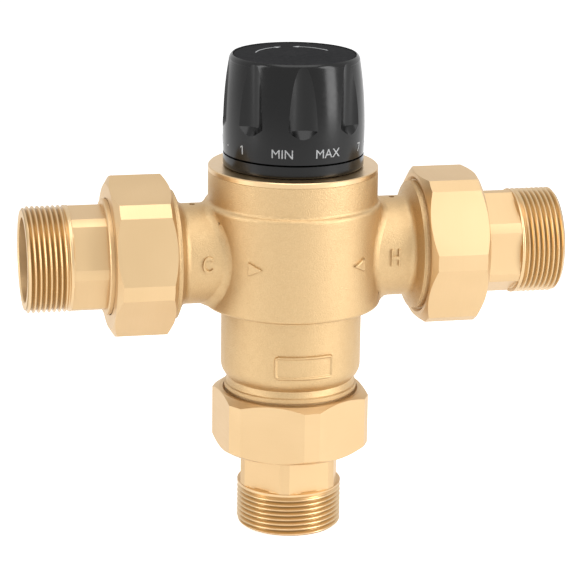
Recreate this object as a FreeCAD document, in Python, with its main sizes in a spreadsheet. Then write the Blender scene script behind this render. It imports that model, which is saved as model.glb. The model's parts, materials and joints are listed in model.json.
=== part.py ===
import FreeCAD, Part
import math
import os
import re
import Sketcher

# Thermostatic mixing valve, DN 40, with three union tailpieces.
# Frame of the part: +X towards the hot inlet, -Y towards the front, +Z up.
# The origin is the centre of the mixed outlet's rim, on which the valve stands.
# Bodies of the valve's centre line are drawn about the port axis crossing, so
# their heights are counted from the port axis. Bodies of a union are drawn
# about +Z, with zero at the inner end of the union nut and +Z outwards.

SIZES = {
    # whole valve
    "port_axis_height": 130.25,
    "side_union_start": 57.1,
    "bottom_union_start": 65.1,
    # union: nut, tailpiece and gasket
    "union_thread_radius": 29.8,
    "union_clearance": 0.05,
    "nut_across_flats": 66.0,
    "nut_corner_radius": 36.2,
    "nut_length": 27.2,
    "nut_end_radius": 32.6,
    "nut_chamfer": 2.3,
    "nut_entry_radius": 31.0,
    "nut_thread_depth": 21.9,
    "nut_lip_radius": 26.35,
    "body_end": 14.0,
    "gasket_thickness": 2.3,
    "gasket_inner_radius": 19.6,
    "tail_bore_radius": 19.05,
    "tail_flange_radius": 28.2,
    "tail_flange_thickness": 5.6,
    "tail_shoulder_radius": 26.0,
    "tail_shoulder_end": 29.4,
    "tail_flats_radius": 23.6,
    "tail_across_flats": 43.0,
    "tail_flats_end": 44.4,
    "pipe_thread_radius": 23.9,
    "tail_length": 65.15,
    "tail_end_chamfer": 1.1,
    "nut_turn_cold": -73.3,
    "nut_turn_hot": 0.2,
    "nut_turn_mixed": -4.6,
    "tail_turn_cold": -5.0,
    "tail_turn_hot": -28.0,
    "tail_turn_mixed": 16.75,
    # casting
    "body_top": 39.5,
    "top_radius": 38.3,
    "top_chamfer": 0.4,
    "shoulder_high": 24.5,
    "shoulder_low": 21.3,
    "barrel_radius": 40.2,
    "barrel_low": -22.9,
    "foot_edge_radius": 39.2,
    "foot_edge": -24.1,
    "foot_round": 1.4,
    "foot_radius": 32.5,
    "step_low": -26.0,
    "lower_radius": 31.9,
    "lower_low": -52.2,
    "groove_radius": 28.7,
    "groove_height": -59.1,
    "collar_radius": 30.2,
    "collar_thickness": 2.0,
    "neck_radius": 22.7,
    "flare_start": 49.8,
    "flare_radius": 29.0,
    "flare_end": 54.7,
    "flare_fillet": 3.2,
    "neck_fillet": 4.0,
    "port_bore_radius": 19.2,
    "port_bore_end": 36.0,
    "cage_seat_radius": 21.2,
    "cage_flange_thickness": 1.5,
    "chamber_radius": 31.0,
    "web_half": 4.0,
    "web_bore_radius": 20.6,
    "chamber_high": 24.0,
    "ledge_high": -21.0,
    "ledge_low": -25.0,
    "ledge_bore_radius": 18.3,
    "outlet_chamber_radius": 26.5,
    "outlet_chamber_low": -48.0,
    "outlet_bore_radius": 21.0,
    "outlet_bore_high": -53.5,
    "window_half_width": 17.0,
    "window_near": 5.0,
    "window_far": 18.0,
    "dimple_place": 46.0,
    "dimple_radius": 1.3,
    "dimple_depth": 1.6,
    # bonnet
    "bonnet_thread_radius": 26.2,
    "bonnet_thread_end": 27.0,
    "bonnet_flange_radius": 29.0,
    "bonnet_flange_top": 43.5,
    "bonnet_neck_radius": 15.0,
    "bonnet_top": 62.0,
    "cold_seat": 18.5,
    "seat_outer_radius": 21.0,
    "seat_inner_radius": 17.0,
    "nut_guide_radius": 12.4,
    "nut_guide_low": 24.0,
    "nut_guide_high": 41.0,
    "keyway_width": 6.4,
    "keyway_radius": 16.3,
    "collar_pocket_radius": 9.3,
    "collar_pocket_high": 46.2,
    "gland_radius": 6.55,
    "bonnet_seal_height": 34.6,
    "bonnet_seal_wire": 1.3,
    # spindle
    "spindle_journal": 6.5,
    "spindle_collar": 9.0,
    "collar_low": 43.2,
    "spindle_thread_radius": 5.0,
    "spindle_low": 25.5,
    "spindle_shoulder": 64.0,
    "spline_radius": 5.0,
    "spindle_top": 78.6,
    "screw_thread_radius": 2.5,
    "screw_depth": 12.0,
    "seal_groove_radius": 5.0,
    "seal_groove_width": 1.9,
    "seal_low": 50.5,
    "seal_high": 55.5,
    "seal_wire": 0.72,
    "clip_outer_radius": 8.4,
    "clip_inner_radius": 5.6,
    "clip_thickness": 1.0,
    "clip_opening": 7.0,
    # setting nut and overtravel
    "cup_radius": 12.0,
    "cup_top": 35.6,
    "cup_low": 12.0,
    "cup_bore_radius": 9.2,
    "cup_bore_high": 27.0,
    "cup_thread_radius": 5.05,
    "ear_width": 5.6,
    "ear_radius": 15.9,
    "ear_low": 30.6,
    "snap_inner_radius": 6.4,
    "snap_thickness": 1.2,
    "pad_radius": 8.9,
    "pad_boss_radius": 6.0,
    "pad_top": 17.0,
    "pad_face": 11.0,
    "overtravel_wire": 0.9,
    "overtravel_coil": 7.7,
    "overtravel_turns": 4.0,
    # wax element and shuttle
    "piston_radius": 2.0,
    "piston_low": -7.0,
    "element_bore_radius": 2.05,
    "element_bore_low": -12.0,
    "element_neck_radius": 6.0,
    "element_neck_top": 6.6,
    "element_flange_radius": 11.0,
    "element_flange_top": 5.0,
    "element_bulb_radius": 7.5,
    "element_low": -36.0,
    "shuttle_radius": 20.0,
    "shuttle_inner_radius": 17.6,
    "shuttle_top": 14.5,
    "shuttle_low": -17.5,
    "shuttle_hub_radius": 14.5,
    "shuttle_hub_bore": 7.7,
    "shuttle_hub_top": 2.0,
    "shuttle_hub_low": -3.0,
    "shuttle_arm_width": 3.6,
    "shuttle_groove_radius": 18.75,
    "shuttle_seal_wire": 0.9,
    # hot seat basket and return spring
    "seat_ring_radius": 20.5,
    "seat_lip": 1.5,
    "basket_radius": 18.2,
    "basket_inner_radius": 16.6,
    "basket_floor_low": -45.0,
    "basket_floor_thickness": 2.5,
    "basket_floor_bore": 9.6,
    "basket_window_width": 20.0,
    "basket_window_high": -25.5,
    "return_wire": 1.1,
    "return_coil": 12.4,
    "return_turns": 5.0,
    # index ring and knob
    "ring_radius": 31.6,
    "ring_top": 45.2,
    "ring_inner_radius": 29.15,
    "ring_lip_radius": 26.0,
    "ring_round": 1.2,
    "knob_low": 45.6,
    "knob_low_radius": 31.5,
    "knob_rim_radius": 29.25,
    "knob_rim_height": 87.4,
    "knob_side_arc": 190.0,
    "knob_round": 3.0,
    "knob_top": 89.9,
    "knob_lip_radius": 27.6,
    "knob_cap_radius": 27.4,
    "cap_recess": 0.3,
    "cap_thickness": 1.6,
    "cap_ledge_radius": 25.0,
    "knob_wall": 27.6,
    "knob_wall_top": 25.6,
    "web_low": 75.0,
    "web_high": 78.0,
    "hub_radius": 9.0,
    "hub_top": 79.0,
    "hub_bore": 5.05,
    "flute_radius": 9.0,
    "flute_floor": 28.3,
    "flute_lean": 0.6,
    "flute_low": 61.0,
    "flute_count": 8,
    "knob_clocking": -4.4,
    "screw_head_radius": 4.6,
    "screw_head_height": 3.0,
    "screw_length": 13.0,
    "screw_hex_radius": 2.3,
    "washer_radius": 7.5,
    "washer_thickness": 1.0,
    # check valves and strainers at the two inlets
    "cage_radius": 18.9,
    "cage_flange_radius": 21.0,
    "cage_length": 25.0,
    "cage_wall": 1.6,
    "check_seat_radius": 13.6,
    "check_seat_depth": 4.0,
    "check_hub_radius": 4.6,
    "check_hub_length": 9.0,
    "check_hub_bore": 2.6,
    "check_arm_width": 2.4,
    "check_arm_height": 4.0,
    "poppet_radius": 15.4,
    "poppet_thickness": 2.4,
    "stem_radius": 2.5,
    "stem_length": 19.5,
    "check_seal_height": 1.2,
    "check_seal_radius": 15.0,
    "check_wire": 0.6,
    "check_coil": 4.6,
    "check_turns": 4.0,
    "strainer_rim_radius": 21.4,
    "strainer_rim": 1.0,
    "strainer_radius": 18.2,
    "strainer_wall": 1.0,
    "strainer_length": 20.0,
    "strainer_slot_width": 3.2,
    "strainer_slot_count": 12,
}

doc = FreeCAD.newDocument("ThermostaticMixingValve")
sheet = doc.addObject("Spreadsheet::Sheet", "Sizes")
for row, (size_name, size_value) in enumerate(SIZES.items(), start=1):
    sheet.set(f"A{row}", size_name)
    sheet.set(f"B{row}", str(size_value))
    sheet.setAlias(f"B{row}", size_name)
doc.recompute()

WORD = re.compile(r"[a-z][a-z_0-9]*")
PARTS = []


def bound(text):
    """An expression in size names, as the document's objects read it."""
    return WORD.sub(lambda m: "Sizes." + m[0] if m[0] in SIZES else m[0], str(text))


def number(text):
    """The present value of an expression in size names."""
    value = sheet.evalExpression(bound(text))
    return float(getattr(value, "Value", value))


def new_body(label, height="0"):
    """An empty PartDesign body that becomes one node, lifted by height."""
    body = doc.addObject("PartDesign::Body", label)
    body.Label = label
    body.setExpression("Placement.Base.z", bound(height))
    PARTS.append(body)
    return body


def origin_feature(body, role):
    return next(f for f in body.Origin.OriginFeatures if f.Role == role)


def arc_between(start, end, radius):
    """The minor arc from start to end: positive turns left, negative right."""
    chord = end - start
    middle = (start + end) / 2
    left = FreeCAD.Vector(-chord.y, chord.x, 0).normalize()
    reach = math.sqrt(radius * radius - chord.Length ** 2 / 4)
    centre = middle + left * math.copysign(reach, radius)
    angles = [math.atan2(p.y - centre.y, p.x - centre.x) for p in (start, end)]
    if radius < 0:
        angles.reverse()
    circle = Part.Circle(centre, FreeCAD.Vector(0, 0, 1), abs(radius))
    return Part.ArcOfCircle(circle, *angles)


def fix(sketch, kind, *target, to):
    """One driving constraint, bound to an expression in size names."""
    index = sketch.addConstraint(Sketcher.Constraint(kind, *target, number(to)))
    sketch.setExpression(f"Constraints[{index}]", bound(to))


def add_outline(sketch, outline):
    """A closed outline of (x, y) corners. (x, y, r) starts an arc of radius r."""
    corners = [FreeCAD.Vector(number(p[0]), number(p[1]), 0) for p in outline]
    ends = []
    for place, point in enumerate(outline):
        start = corners[place]
        end = corners[(place + 1) % len(corners)]
        radius = number(point[2]) if len(point) == 3 else 0
        shape = arc_between(start, end, radius) if radius else Part.LineSegment(start, end)
        index = sketch.addGeometry(shape, False)
        ends.append((index, 2, 1) if radius < 0 else (index, 1, 2))
    for place, point in enumerate(outline):
        index, first, last = ends[place]
        following, next_first, _ = ends[(place + 1) % len(ends)]
        sketch.addConstraint(Sketcher.Constraint("Coincident", index, last, following, next_first))
        fix(sketch, "DistanceX", -1, 1, index, first, to=point[0])
        fix(sketch, "DistanceY", -1, 1, index, first, to=point[1])
        if len(point) == 3:
            fix(sketch, "Radius", index, to=f"abs({point[2]})")


def add_circle(sketch, x, y, radius):
    centre = FreeCAD.Vector(number(x), number(y), 0)
    circle = Part.Circle(centre, FreeCAD.Vector(0, 0, 1), number(radius))
    index = sketch.addGeometry(circle, False)
    fix(sketch, "DistanceX", -1, 1, index, 3, to=x)
    fix(sketch, "DistanceY", -1, 1, index, 3, to=y)
    fix(sketch, "Radius", index, to=radius)


def new_sketch(body, name, plane, outlines=(), circles=(), offset="0"):
    sketch = body.newObject("Sketcher::SketchObject", name + "Sketch")
    sketch.AttachmentSupport = [(origin_feature(body, plane), "")]
    sketch.MapMode = "FlatFace"
    sketch.setExpression("AttachmentOffset.Base.z", bound(offset))
    for outline in outlines:
        add_outline(sketch, outline)
    for circle in circles:
        add_circle(sketch, *circle)
    return sketch


def turn(body, name, *outlines, axis="V_Axis", cut=False):
    """A turned feature from outlines of (radius, height) corners."""
    sketch = new_sketch(body, name, "XZ_Plane", outlines)
    feature = body.newObject("PartDesign::" + ("Groove" if cut else "Revolution"), name)
    feature.Profile = sketch
    feature.ReferenceAxis = (sketch, [axis])
    feature.Angle = 360
    doc.recompute()
    return feature


def extrude(body, name, sketch, length, cut=False, back=False, through=False):
    """A pad or pocket of a sketch, along the sketch's normal unless back."""
    feature = body.newObject("PartDesign::" + ("Pocket" if cut else "Pad"), name)
    feature.Profile = sketch
    feature.Reversed = back != cut
    if through:
        feature.Type = "ThroughAll"
    else:
        feature.setExpression("Length", bound(length))
    doc.recompute()
    return feature


def pattern(body, name, feature, count):
    """Repeats a feature evenly about the body's Z axis."""
    ring = body.newObject("PartDesign::PolarPattern", name)
    ring.Originals = [feature]
    ring.Axis = (origin_feature(body, "Z_Axis"), [""])
    ring.Angle = 360
    ring.setExpression("Occurrences", bound(count))
    body.Tip = ring
    doc.recompute()
    return ring


def rectangle(low_x, low_y, high_x, high_y):
    return [(low_x, low_y), (high_x, low_y), (high_x, high_y), (low_x, high_y)]


def dress(body, kind, name, chosen, size):
    """A Fillet or Chamfer on the edges of the present solid that chosen picks."""
    edges = [f"Edge{i}" for i, e in enumerate(body.Shape.Edges, start=1) if chosen(e)]
    if not edges:
        raise ValueError(f"{name}: no edge found")
    base = body.Tip
    feature = body.newObject("PartDesign::" + kind, name)
    feature.Base = (base, edges)
    feature.setExpression("Radius" if kind == "Fillet" else "Size", bound(size))
    doc.recompute()
    return feature


def coil(body, name, centre_radius, wire, low, high, turns):
    """A helical spring whose wire spans low to high."""
    sketch = new_sketch(body, name, "XZ_Plane",
                        circles=[(centre_radius, f"({low}) + ({wire})", wire)])
    helix = body.newObject("PartDesign::AdditiveHelix", name)
    helix.Profile = sketch
    helix.ReferenceAxis = (sketch, ["V_Axis"])
    helix.Mode = "height-turns-angle"
    helix.setExpression("Height", bound(f"({high}) - ({low}) - 2 * ({wire})"))
    helix.setExpression("Turns", bound(turns))
    doc.recompute()
    return helix


def torus_ring(label, centre_radius, height, wire):
    """An O-ring about the valve's centre line."""
    body = new_body(label, "port_axis_height")
    ring_sketch = new_sketch(body, "Ring", "XZ_Plane", circles=[(centre_radius, height, wire)])
    ring = body.newObject("PartDesign::Revolution", "Ring")
    ring.Profile = ring_sketch
    ring.ReferenceAxis = (ring_sketch, ["V_Axis"])
    ring.Angle = 360
    doc.recompute()
    return body


# ---- casting ----------------------------------------------------------------

LOWER_UNION = "-bottom_union_start"


def barrel_outline():
    """Half section of the upright barrel, closed along the centre line."""
    lower_end = f"{LOWER_UNION} - body_end"
    collar_low = f"{LOWER_UNION} + 1.1"
    collar_high = f"{collar_low} + collar_thickness"
    return [
        ("0", lower_end),
        ("union_thread_radius - 1.2", lower_end),
        ("union_thread_radius", f"{lower_end} + 1.2"),
        ("union_thread_radius", f"{LOWER_UNION} - 0.9"),
        ("union_thread_radius - 0.7", f"{LOWER_UNION} - 0.9"),
        ("union_thread_radius - 0.7", collar_low),
        ("collar_radius", collar_low),
        ("collar_radius", f"{collar_high} - 0.3"),
        ("collar_radius - 0.4", collar_high),
        ("collar_radius - 0.7", f"{collar_high} + 0.2", "-9"),
        ("groove_radius", "groove_height"),
        ("groove_radius + 0.9", "groove_height + 1.1", "7.5"),
        ("lower_radius", "lower_low"),
        ("lower_radius", "step_low - 3"),
        ("barrel_radius", "step_low - 3"),
        ("barrel_radius", "shoulder_low", "2.2"),
        ("barrel_radius - 0.9", "shoulder_low + 1.7", "-1.6"),
        ("top_radius", "shoulder_high"),
        ("top_radius", "body_top - top_chamfer"),
        ("top_radius - top_chamfer", "body_top"),
        ("0", "body_top"),
    ]


def neck_outline():
    """Half section of both necks about the port axis, end to end."""
    end = "side_union_start + body_end"
    half = [
        (end, "0"),
        (end, "union_thread_radius - 1.2"),
        (f"{end} - 1.2", "union_thread_radius"),
        ("side_union_start + 0.9", "union_thread_radius"),
        ("side_union_start + 0.9", "union_thread_radius - 0.7"),
        ("side_union_start - 1.1", "union_thread_radius - 0.7"),
        ("side_union_start - 1.3", "flare_radius"),
        ("flare_end", "flare_radius"),
        ("flare_end - 2", "neck_radius + 1.85", "-flare_fillet"),
        ("flare_start", "neck_radius"),
    ]
    other = [(f"-({x})", y) for x, y, *_ in reversed(half)]
    other[0] = (f"-({half[-1][0]})", half[-1][1], "-flare_fillet")
    return half + other


def build_casting():
    body = new_body("valve_body", "port_axis_height")
    turn(body, "Barrel", barrel_outline())
    turn(body, "Necks", neck_outline(), axis="H_Axis")
    reach = number("barrel_radius") + 1

    def at_neck_root(edge):
        box = edge.BoundBox
        crossing = isinstance(edge.Curve, Part.BSplineCurve)
        return crossing and max(abs(box.XMin), abs(box.XMax)) < reach

    dress(body, "Fillet", "NeckRoots", at_neck_root, "neck_fillet")
    past_fillets = "barrel_radius + 2 * neck_fillet"
    turn(body, "Foot", [
        ("lower_radius", "step_low - 4"),
        (past_fillets, "step_low - 4"),
        (past_fillets, "barrel_low"),
        ("barrel_radius", "barrel_low", "-foot_round"),
        ("foot_edge_radius", "foot_edge"),
        ("foot_radius", "step_low"),
        ("lower_radius", "step_low - 0.5"),
    ], cut=True)
    turn(body, "Cavity", [
        ("0", f"{LOWER_UNION} - body_end"),
        ("outlet_bore_radius", f"{LOWER_UNION} - body_end"),
        ("outlet_bore_radius", "outlet_bore_high"),
        ("outlet_chamber_radius", "outlet_chamber_low"),
        ("outlet_chamber_radius", "ledge_low - 2"),
        ("ledge_bore_radius", "ledge_low"),
        ("ledge_bore_radius", "ledge_high"),
        ("chamber_radius", "ledge_high"),
        ("chamber_radius", "-web_half"),
        ("web_bore_radius", "-web_half"),
        ("web_bore_radius", "web_half"),
        ("chamber_radius", "web_half"),
        ("chamber_radius", "chamber_high"),
        ("bonnet_thread_radius + union_clearance", "chamber_high + 3"),
        ("bonnet_thread_radius + union_clearance", "body_top"),
        ("0", "body_top"),
    ], cut=True)
    end = "side_union_start + body_end"
    bore = [
        ("port_bore_end", "0"),
        (end, "0"),
        (end, "cage_seat_radius"),
        (f"{end} - cage_flange_thickness", "cage_seat_radius"),
        (f"{end} - cage_flange_thickness", "port_bore_radius"),
        ("port_bore_end", "port_bore_radius"),
    ]
    other_bore = [(f"-({x})", y) for x, y in reversed(bore)]
    turn(body, "PortBores", bore, other_bore, axis="H_Axis", cut=True)
    windows = (
        ("HotWindow", "-window_far", "-window_near", False),
        ("ColdWindow", "window_near", "window_far", True),
    )
    for name, low, high, back in windows:
        sketch = new_sketch(body, name, "YZ_Plane",
                            [rectangle("-window_half_width", low, "window_half_width", high)])
        extrude(body, name, sketch, "port_bore_end + 1", cut=True, back=back)
    dimples = new_sketch(body, "Dimples", "XY_Plane", circles=[
        ("dimple_place", "0", "dimple_radius"),
        ("-dimple_place", "0", "dimple_radius"),
    ], offset="neck_radius - dimple_depth")
    extrude(body, "Dimples", dimples, "dimple_depth + 3", cut=True)


# ---- unions -----------------------------------------------------------------

def put_on_port(body, name, turned):
    """Places a body drawn about +Z on one of the three ports."""
    side = FreeCAD.Rotation(FreeCAD.Vector(0, 1, 0), {"hot": 90, "cold": -90, "mixed": 180}[name])
    spin = FreeCAD.Rotation(FreeCAD.Vector(0, 0, 1), number(turned))
    body.Placement = FreeCAD.Placement(FreeCAD.Vector(0, 0, 0), side * spin)
    if name == "mixed":
        body.setExpression("Placement.Base.z", bound("port_axis_height - bottom_union_start"))
    else:
        sign = "" if name == "hot" else "-"
        body.setExpression("Placement.Base.x", bound(sign + "side_union_start"))
        body.setExpression("Placement.Base.z", bound("port_axis_height"))


def polygon(radius, half_angle, count):
    """Corners at plus and minus half_angle about each of count directions."""
    corners = []
    for place in range(count):
        for sign in ("-", "+"):
            angle = f"({place} * 360 / {count} * 1 deg {sign} {half_angle})"
            corners.append((f"{radius} * cos({angle})", f"{radius} * sin({angle})"))
    return corners


def build_union_nut(name):
    """Hexagon with cut corners, both ends chamfered, and an inner lip."""
    body = new_body(f"union_nut_{name}")
    half_angle = "acos(nut_across_flats / 2 / nut_corner_radius)"
    section = new_sketch(body, "Section", "XY_Plane", [polygon("nut_corner_radius", half_angle, 6)])
    extrude(body, "Section", section, "nut_length")
    thread = "union_thread_radius + union_clearance"
    turn(body, "Bore", [
        ("0", "0"),
        ("nut_entry_radius", "0"),
        (thread, f"nut_entry_radius - ({thread})"),
        (thread, "nut_thread_depth"),
        ("nut_lip_radius", "nut_thread_depth"),
        ("nut_lip_radius", "nut_length"),
        ("0", "nut_length"),
    ], cut=True)
    outside = "nut_corner_radius + 3"
    drop = f"nut_chamfer * (({outside}) - nut_end_radius) / (nut_corner_radius - nut_end_radius)"
    turn(body, "Chamfers", [
        ("nut_end_radius", "0"),
        (outside, "0"),
        (outside, drop),
    ], [
        ("nut_end_radius", "nut_length"),
        (outside, f"nut_length - {drop}"),
        (outside, "nut_length"),
    ], cut=True)
    put_on_port(body, name, f"nut_turn_{name}")


def build_tailpiece(name):
    """Turned tail with a trapped flange, six wrench flats and a pipe thread."""
    body = new_body(f"tailpiece_{name}")
    face = "body_end + gasket_thickness"
    recess = "strainer_rim" if name != "mixed" else "0.6"
    flange_end = f"{face} + tail_flange_thickness"
    turn(body, "Blank", [
        ("tail_bore_radius", f"{face} + {recess}"),
        ("strainer_rim_radius + 0.1", f"{face} + {recess}"),
        ("strainer_rim_radius + 0.1", face),
        ("tail_flange_radius", face),
        ("tail_flange_radius", flange_end),
        ("tail_shoulder_radius", flange_end),
        ("tail_shoulder_radius", "tail_shoulder_end - 0.5"),
        ("tail_shoulder_radius - 0.5", "tail_shoulder_end"),
        ("tail_flats_radius", "tail_shoulder_end"),
        ("tail_flats_radius", "tail_flats_end"),
        ("pipe_thread_radius", "tail_flats_end + 0.1"),
        ("pipe_thread_radius", "tail_length - tail_end_chamfer"),
        ("pipe_thread_radius - tail_end_chamfer", "tail_length"),
        ("tail_bore_radius + 0.6", "tail_length"),
        ("tail_bore_radius", "tail_length - 0.6"),
    ])
    flat = "tail_across_flats / 2"
    section = new_sketch(body, "Flat", "XY_Plane", [
        rectangle(flat, "-tail_flats_radius", "tail_flats_radius + 2", "tail_flats_radius"),
    ], offset="tail_shoulder_end")
    flat_cut = extrude(body, "Flat", section, "tail_flats_end - tail_shoulder_end", cut=True)
    pattern(body, "Flats", flat_cut, "6")
    put_on_port(body, name, f"tail_turn_{name}")


def build_gasket(name):
    body = new_body(f"gasket_{name}")
    top = "body_end + gasket_thickness"
    turn(body, "Ring", rectangle("gasket_inner_radius", "body_end", "tail_flange_radius", top))
    put_on_port(body, name, "0")


# ---- check valves and strainers ---------------------------------------------

def build_strainer(name):
    """Slotted cup whose rim is held between the gasket and the tailpiece."""
    body = new_body(f"strainer_{name}")
    face = "body_end + gasket_thickness"
    end = f"{face} + strainer_length"
    turn(body, "Cup", [
        ("strainer_radius - strainer_wall", face),
        ("strainer_rim_radius", face),
        ("strainer_rim_radius", f"{face} + strainer_rim"),
        ("strainer_radius", f"{face} + strainer_rim"),
        ("strainer_radius", end),
        ("0", end),
        ("0", f"{end} - strainer_wall"),
        ("strainer_radius - strainer_wall", f"{end} - strainer_wall"),
    ])
    slot = new_sketch(body, "Slot", "XY_Plane", [
        rectangle("strainer_radius - 2 * strainer_wall", "-strainer_slot_width / 2",
                  "strainer_radius + 1", "strainer_slot_width / 2"),
    ], offset=f"{face} + strainer_rim + 1.5")
    slot_cut = extrude(body, "Slot", slot, "strainer_length - 5", cut=True)
    pattern(body, "Slots", slot_cut, "strainer_slot_count")
    put_on_port(body, name, "0")


def cage_seat():
    return "body_end - check_seat_depth"


def build_check_cage(name):
    """Cage with a seat facing inwards and a spider that guides the stem."""
    body = new_body(f"check_cage_{name}")
    inner = "cage_radius - cage_wall"
    low = "body_end - cage_length"
    turn(body, "Sleeve", [
        ("check_seat_radius", "body_end"),
        ("cage_flange_radius", "body_end"),
        ("cage_flange_radius", "body_end - cage_flange_thickness"),
        ("cage_radius", "body_end - cage_flange_thickness"),
        ("cage_radius", low),
        (inner, low),
        (inner, f"{cage_seat()} - 1"),
        (f"{inner} - 1", cage_seat()),
        ("check_seat_radius", cage_seat()),
    ])
    turn(body, "Hub", rectangle("check_hub_bore", low, "check_hub_radius", f"{low} + check_hub_length"))
    arm = new_sketch(body, "Arm", "XY_Plane", [
        rectangle("check_hub_radius - 0.6", "-check_arm_width / 2",
                  f"{inner} + 0.5", "check_arm_width / 2"),
    ], offset=low)
    arm_pad = extrude(body, "Arm", arm, "check_arm_height")
    pattern(body, "Arms", arm_pad, "4")
    put_on_port(body, name, "0")


def build_check_poppet(name):
    """Disc and stem that open inwards off the cage's seat."""
    body = new_body(f"check_poppet_{name}")
    face = f"{cage_seat()} - check_seal_height"
    back = f"{face} - poppet_thickness"
    turn(body, "Disc", [
        ("0", f"{face} + 1.2"),
        ("6", f"{face} + 1.2"),
        ("9", face),
        ("poppet_radius", face),
        ("poppet_radius", f"{face} - 1"),
        ("6", back),
        ("stem_radius", back),
        ("stem_radius", f"{face} - stem_length"),
        ("0", f"{face} - stem_length"),
    ])
    put_on_port(body, name, "0")


def build_check_seal(name):
    body = new_body(f"check_seal_{name}")
    turn(body, "Ring", rectangle("9.4", f"{cage_seat()} - check_seal_height",
                                 "check_seal_radius", cage_seat()))
    put_on_port(body, name, "0")


def build_check_spring(name):
    body = new_body(f"check_spring_{name}")
    low = "body_end - cage_length + check_arm_height"
    high = f"{cage_seat()} - check_seal_height - poppet_thickness"
    coil(body, "Coil", "check_coil + 1.4", "check_wire", low, high, "check_turns")
    put_on_port(body, name, "0")


# ---- bonnet, spindle and knob -----------------------------------------------

def build_bonnet():
    body = new_body("bonnet", "port_axis_height")
    groove = "bonnet_thread_radius - 2 * bonnet_seal_wire"
    turn(body, "Section", [
        ("gland_radius", "collar_pocket_high"),
        ("gland_radius", "bonnet_top"),
        ("bonnet_neck_radius - 1", "bonnet_top"),
        ("bonnet_neck_radius", "bonnet_top - 1"),
        ("bonnet_neck_radius", "bonnet_flange_top"),
        ("bonnet_flange_radius", "bonnet_flange_top"),
        ("bonnet_flange_radius", "body_top"),
        ("bonnet_thread_radius", "body_top"),
        ("bonnet_thread_radius", "bonnet_seal_height + bonnet_seal_wire + 0.3"),
        (groove, "bonnet_seal_height + bonnet_seal_wire + 0.3"),
        (groove, "bonnet_seal_height - bonnet_seal_wire - 0.3"),
        ("bonnet_thread_radius", "bonnet_seal_height - bonnet_seal_wire - 0.3"),
        ("bonnet_thread_radius", "bonnet_thread_end"),
        ("seat_outer_radius", "bonnet_thread_end"),
        ("seat_outer_radius", "cold_seat"),
        ("seat_inner_radius", "cold_seat"),
        ("seat_inner_radius", "nut_guide_low"),
        ("nut_guide_radius", "nut_guide_low"),
        ("nut_guide_radius", "nut_guide_high"),
        ("collar_pocket_radius", "nut_guide_high"),
        ("collar_pocket_radius", "collar_pocket_high"),
    ])
    keyway = new_sketch(body, "Keyways", "XY_Plane", [
        rectangle("-keyway_radius", "-keyway_width / 2", "keyway_radius", "keyway_width / 2"),
    ], offset="nut_guide_high")
    extrude(body, "Keyways", keyway, "nut_guide_high - nut_guide_low", cut=True, back=True)


def build_spindle():
    """Journal with two seal grooves, left-hand thread below, splined head."""
    body = new_body("spindle", "port_axis_height")
    half = "seal_groove_width / 2"
    clip_groove_top = "bonnet_top + clip_thickness + 0.05"
    outline = [
        ("0", "spindle_low"),
        ("spindle_thread_radius - 0.8", "spindle_low"),
        ("spindle_thread_radius", "spindle_low + 0.8"),
        ("spindle_thread_radius", "collar_low"),
        ("spindle_collar", "collar_low"),
        ("spindle_collar", "collar_pocket_high"),
        ("spindle_journal", "collar_pocket_high"),
    ]
    for height in ("seal_low", "seal_high"):
        outline += [
            ("spindle_journal", f"{height} - {half}"),
            ("seal_groove_radius", f"{height} - {half}"),
            ("seal_groove_radius", f"{height} + {half}"),
            ("spindle_journal", f"{height} + {half}"),
        ]
    outline += [
        ("spindle_journal", "bonnet_top"),
        ("clip_inner_radius", "bonnet_top"),
        ("clip_inner_radius", clip_groove_top),
        ("spindle_journal", clip_groove_top),
        ("spindle_journal", "spindle_shoulder"),
        ("spline_radius", "spindle_shoulder"),
        ("spline_radius", "spindle_top"),
        ("screw_thread_radius", "spindle_top"),
        ("screw_thread_radius", "spindle_top - screw_depth"),
        ("0", "spindle_top - screw_depth"),
    ]
    turn(body, "Section", outline)


def build_spindle_clip():
    """Open retaining ring in the spindle's groove, on top of the bonnet."""
    body = new_body("spindle_clip", "port_axis_height")
    ring = new_sketch(body, "Ring", "XY_Plane", circles=[
        ("0", "0", "clip_outer_radius"),
        ("0", "0", "clip_inner_radius"),
    ], offset="bonnet_top")
    extrude(body, "Ring", ring, "clip_thickness")
    gap = new_sketch(body, "Opening", "XY_Plane", [
        rectangle("-clip_opening / 2", "0", "clip_opening / 2", "clip_outer_radius + 1"),
    ], offset="bonnet_top")
    extrude(body, "Opening", gap, "clip_thickness + 1", cut=True)


def build_index_ring():
    body = new_body("index_ring", "port_axis_height")
    turn(body, "Section", [
        ("ring_inner_radius", "body_top"),
        ("ring_radius - ring_round", "body_top", "1.25"),
        ("ring_radius", "body_top + ring_round"),
        ("ring_radius", "ring_top"),
        ("ring_lip_radius", "ring_top"),
        ("ring_lip_radius", "bonnet_flange_top"),
        ("ring_inner_radius", "bonnet_flange_top"),
    ])


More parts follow.
